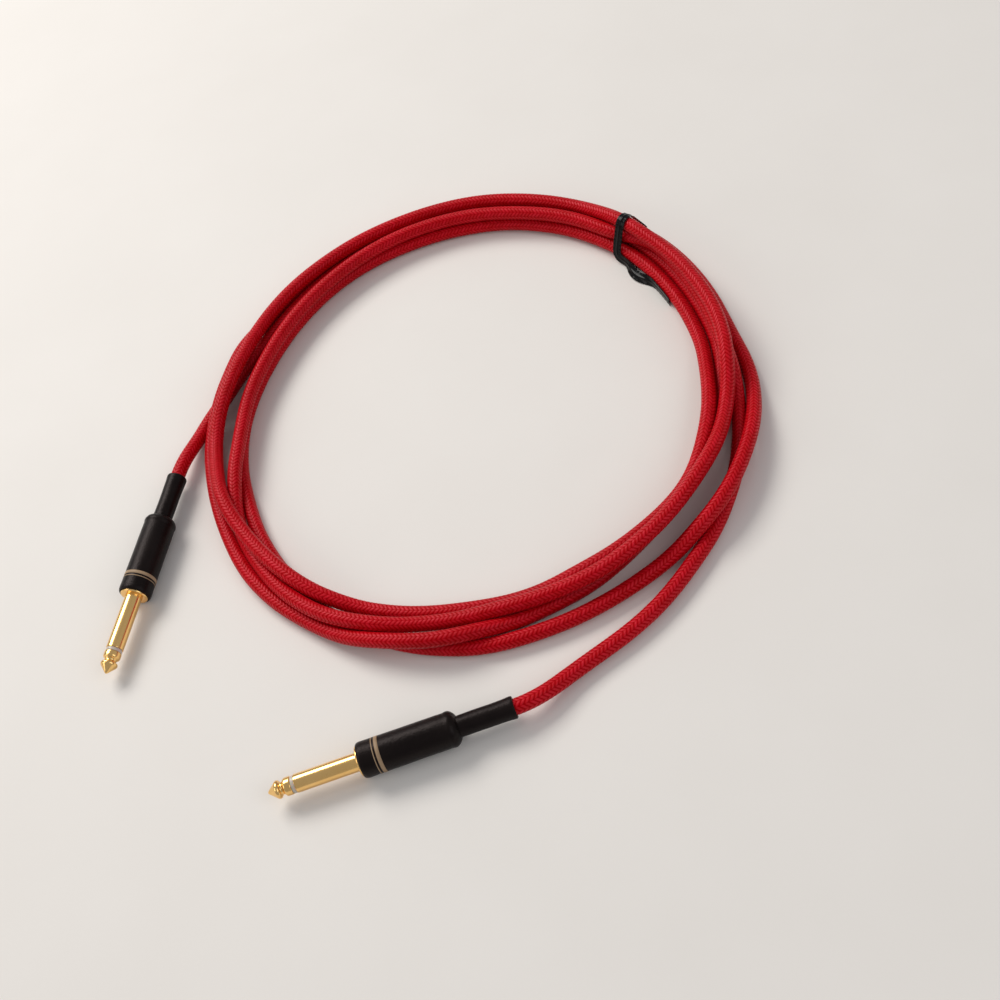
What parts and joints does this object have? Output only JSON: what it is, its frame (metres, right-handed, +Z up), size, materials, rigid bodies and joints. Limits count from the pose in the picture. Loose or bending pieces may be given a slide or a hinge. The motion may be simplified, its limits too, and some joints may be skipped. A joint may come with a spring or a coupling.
{
  "type": "instrument cable",
  "caption": "Coiled instrument cable with a woven cover, a straight quarter-inch plug at each end and a twist tie round the coil; plugs flex and barrels unscrew.",
  "frame": {"origin": "middle of the bounding box in plan, at the underside of the whole", "axes": "+Z up out of the plane of the coil, +Y along the longest side in plan, from the plugs towards the far side of the coil, +X to the right"},
  "size_m": [0.2474, 0.2722, 0.0188],
  "materials": {
    "textile": "woven, soft sheen",
    "vinyl": "smooth",
    "copper_braid": "woven bare copper",
    "foam": "foamed",
    "copper_strand": "stranded bare copper",
    "heat_shrink": "matt with faint wrinkles",
    "gold_plate": "polished gold plate",
    "insulator": "smooth",
    "ring_insulator": "slightly clear",
    "nickel_silver": "stamped",
    "solder": "smooth",
    "barrel_metal": "turned, plated",
    "liner": "clear",
    "tie_plastic": "glossy",
    "tie_steel": "drawn wire"
  },
  "bodies": {
    "coil": {"ring_conductor": "copper_strand", "ring_dielectric": "foam", "ring_shield": "copper_braid", "ring_jacket": "vinyl", "ring_braid": "textile", "tie_strip": "tie_plastic", "tie_wire": "tie_steel"},
    "plug_a": {"tail_a_conductor": "copper_strand", "tail_a_dielectric": "foam", "tail_a_shield": "copper_braid", "tail_a_jacket": "vinyl", "tail_a_braid": "textile", "tail_a_knuckle": "textile", "plug_a_boot": "heat_shrink", "plug_a_sleeve_contact": "gold_plate", "plug_a_rod_insulator": "insulator", "plug_a_tip_insulator": "ring_insulator", "plug_a_tip_contact": "gold_plate", "plug_a_rear_washer": "insulator", "plug_a_tip_lug": "nickel_silver", "plug_a_ground_lug": "nickel_silver", "plug_a_tip_solder": "solder", "plug_a_ground_solder": "solder"},
    "plug_a_carrier": {"plug_a_barrel_liner": "liner"},
    "plug_a_barrel": {"plug_a_barrel_shell": "barrel_metal", "plug_a_barrel_cover": "heat_shrink"},
    "plug_b": {"tail_b_conductor": "copper_strand", "tail_b_dielectric": "foam", "tail_b_shield": "copper_braid", "tail_b_jacket": "vinyl", "tail_b_braid": "textile", "tail_b_knuckle": "textile", "plug_b_boot": "heat_shrink", "plug_b_sleeve_contact": "gold_plate", "plug_b_rod_insulator": "insulator", "plug_b_tip_insulator": "ring_insulator", "plug_b_tip_contact": "gold_plate", "plug_b_rear_washer": "insulator", "plug_b_tip_lug": "nickel_silver", "plug_b_ground_lug": "nickel_silver", "plug_b_tip_solder": "solder", "plug_b_ground_solder": "solder"},
    "plug_b_carrier": {"plug_b_barrel_liner": "liner"},
    "plug_b_barrel": {"plug_b_barrel_shell": "barrel_metal", "plug_b_barrel_cover": "heat_shrink"}
  },
  "joints": [
    {"name": "plug_a_flex", "type": "hinge", "parent": "coil", "child": "plug_a", "pos_m": [-0.10249, 0.02031, 0.00467], "axis": [0, 0, -1], "range_deg": [-5, 30]},
    {"name": "plug_b_flex", "type": "hinge", "parent": "coil", "child": "plug_b", "pos_m": [0.05884, -0.09314, 0.0037], "axis": [0, 0, 1], "range_deg": [-8, 30]},
    {"name": "plug_a_barrel_turn", "type": "hinge", "parent": "plug_a_carrier", "child": "plug_a_barrel", "pos_m": [-0.11289, -0.03346, 0.00698], "axis": [0.1648, 0.9863, 0], "range_deg": [0, 2520]},
    {"name": "plug_a_barrel_travel", "type": "slide", "parent": "plug_a", "child": "plug_a_carrier", "axis": [0.1648, 0.9863, 0], "range_m": [0, 0.0056]},
    {"name": "plug_b_barrel_turn", "type": "hinge", "parent": "plug_b_carrier", "child": "plug_b_barrel", "pos_m": [-0.00401, -0.1207, 0.00698], "axis": [0.9648, 0.2629, 0], "range_deg": [0, 2520]},
    {"name": "plug_b_barrel_travel", "type": "slide", "parent": "plug_b", "child": "plug_b_carrier", "axis": [0.9648, 0.2629, 0], "range_m": [0, 0.0056]}
  ],
  "couplings": [
    {"joint": "plug_a_barrel_travel", "follows": "plug_a_barrel_turn", "m_per_rad": 0.00012637},
    {"joint": "plug_b_barrel_travel", "follows": "plug_b_barrel_turn", "m_per_rad": 0.00012637}
  ]
}
